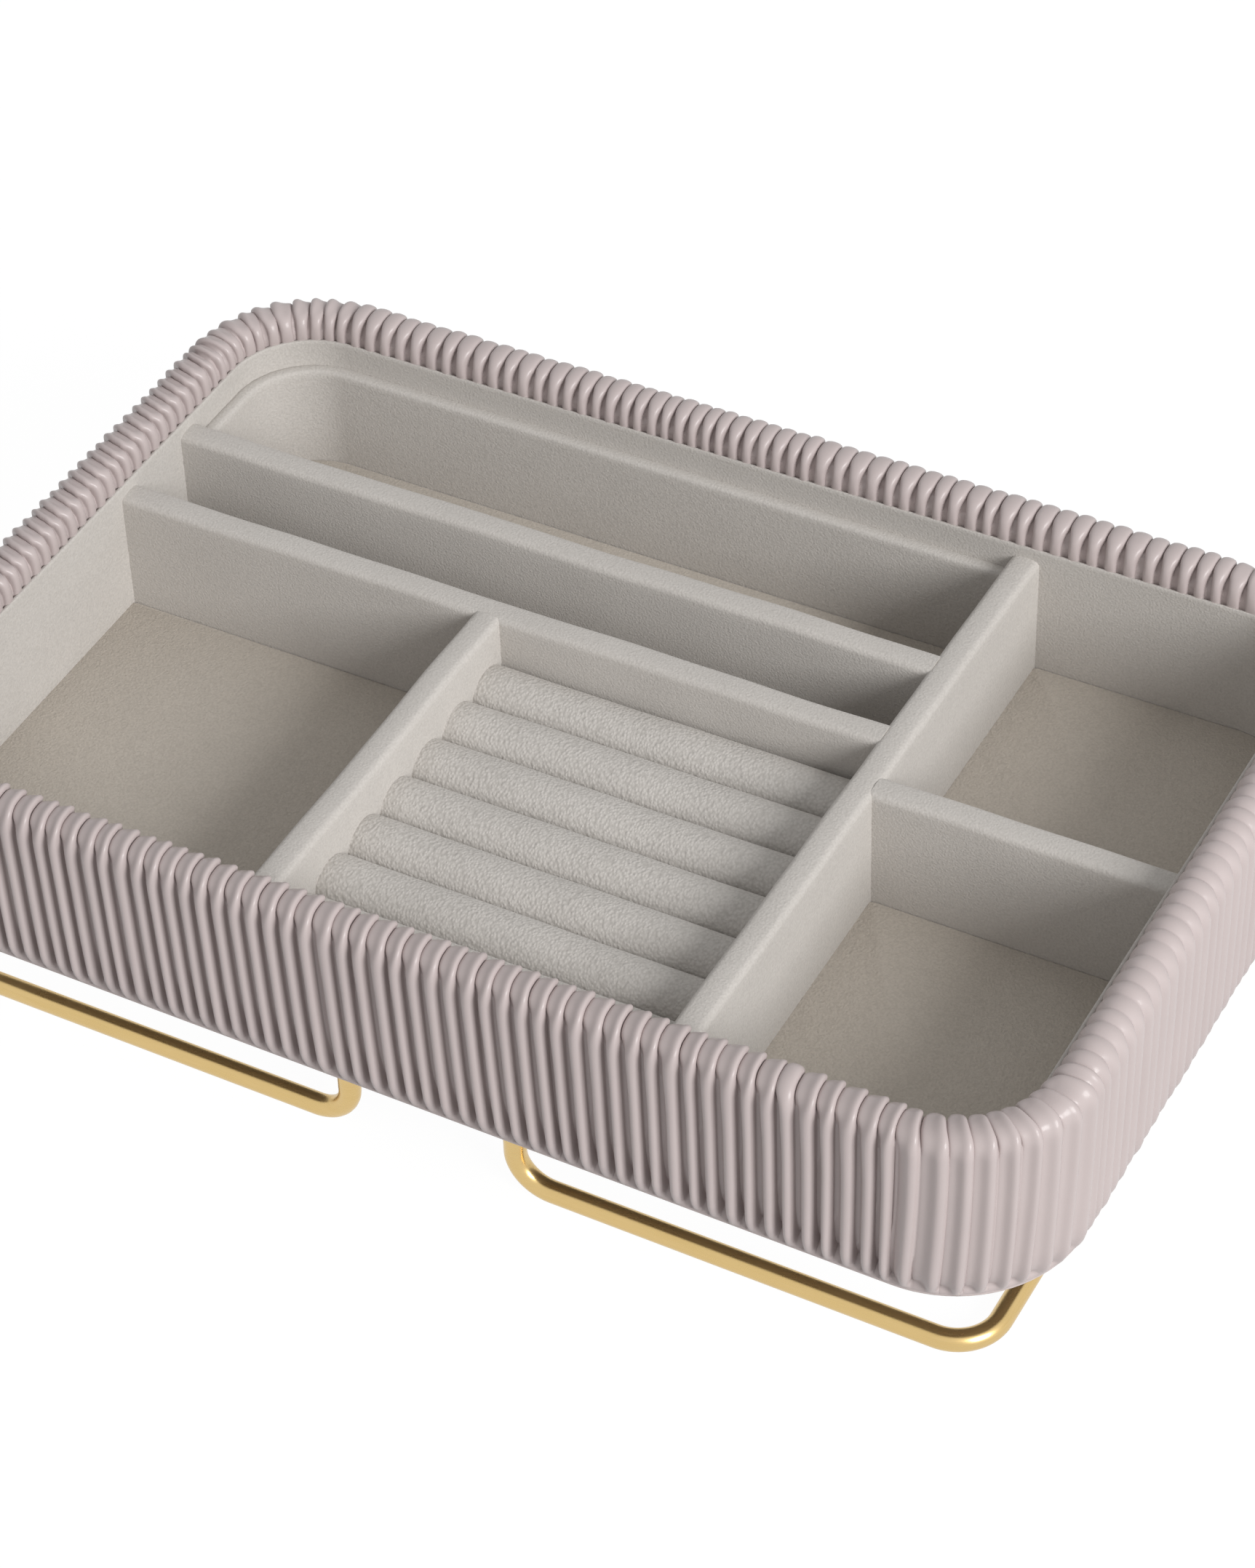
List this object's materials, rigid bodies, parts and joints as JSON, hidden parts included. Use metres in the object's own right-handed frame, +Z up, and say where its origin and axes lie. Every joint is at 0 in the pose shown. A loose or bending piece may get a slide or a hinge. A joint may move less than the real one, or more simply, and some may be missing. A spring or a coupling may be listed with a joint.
{
  "type": "jewellery box",
  "caption": "Open jewellery tray with a ruched padded wall, suede lined compartments, ring rolls and bent wire feet.",
  "frame": {"origin": "on the table, under the middle of the tray's outline", "axes": "+Z up, +X to the right along the long side, +Y to the back, where the narrow rows are"},
  "size_m": [0.3, 0.1994, 0.0781],
  "materials": {
    "satin": "satin leatherette, gathered",
    "suede": "microfibre suede",
    "roll_suede": "soft grained suede over foam",
    "foam": "upholstery foam",
    "board": "fibreboard",
    "gold": "polished gold plate",
    "steel": "plated"
  },
  "bodies": {
    "root": {"underside_cover": "satin", "base_board": "board", "hem_band": "satin", "wall_frame": "board", "rim_padding": "foam", "ruched_cover": "satin", "wall_lining": "suede", "rear_step_liner": "suede", "cross_divider": "suede", "cross_divider_core": "board", "rear_divider": "suede", "rear_divider_core": "board", "middle_divider": "suede", "middle_divider_core": "board", "ring_divider": "suede", "ring_divider_core": "board", "right_divider": "suede", "right_divider_core": "board", "left_floor": "suede", "rear_floor": "suede", "middle_floor": "suede", "back_right_floor": "suede", "front_right_floor": "suede", "ring_bed": "board", "ring_roll_1": "roll_suede", "ring_roll_2": "roll_suede", "ring_roll_3": "roll_suede", "ring_roll_4": "roll_suede", "ring_roll_5": "roll_suede", "ring_roll_6": "roll_suede", "ring_roll_7": "roll_suede", "foot_wire_left": "gold", "foot_wire_right": "gold", "foot_insert_front_left": "steel", "foot_insert_front_right": "steel", "foot_insert_back_left": "steel", "foot_insert_back_right": "steel"}
  },
  "joints": []
}
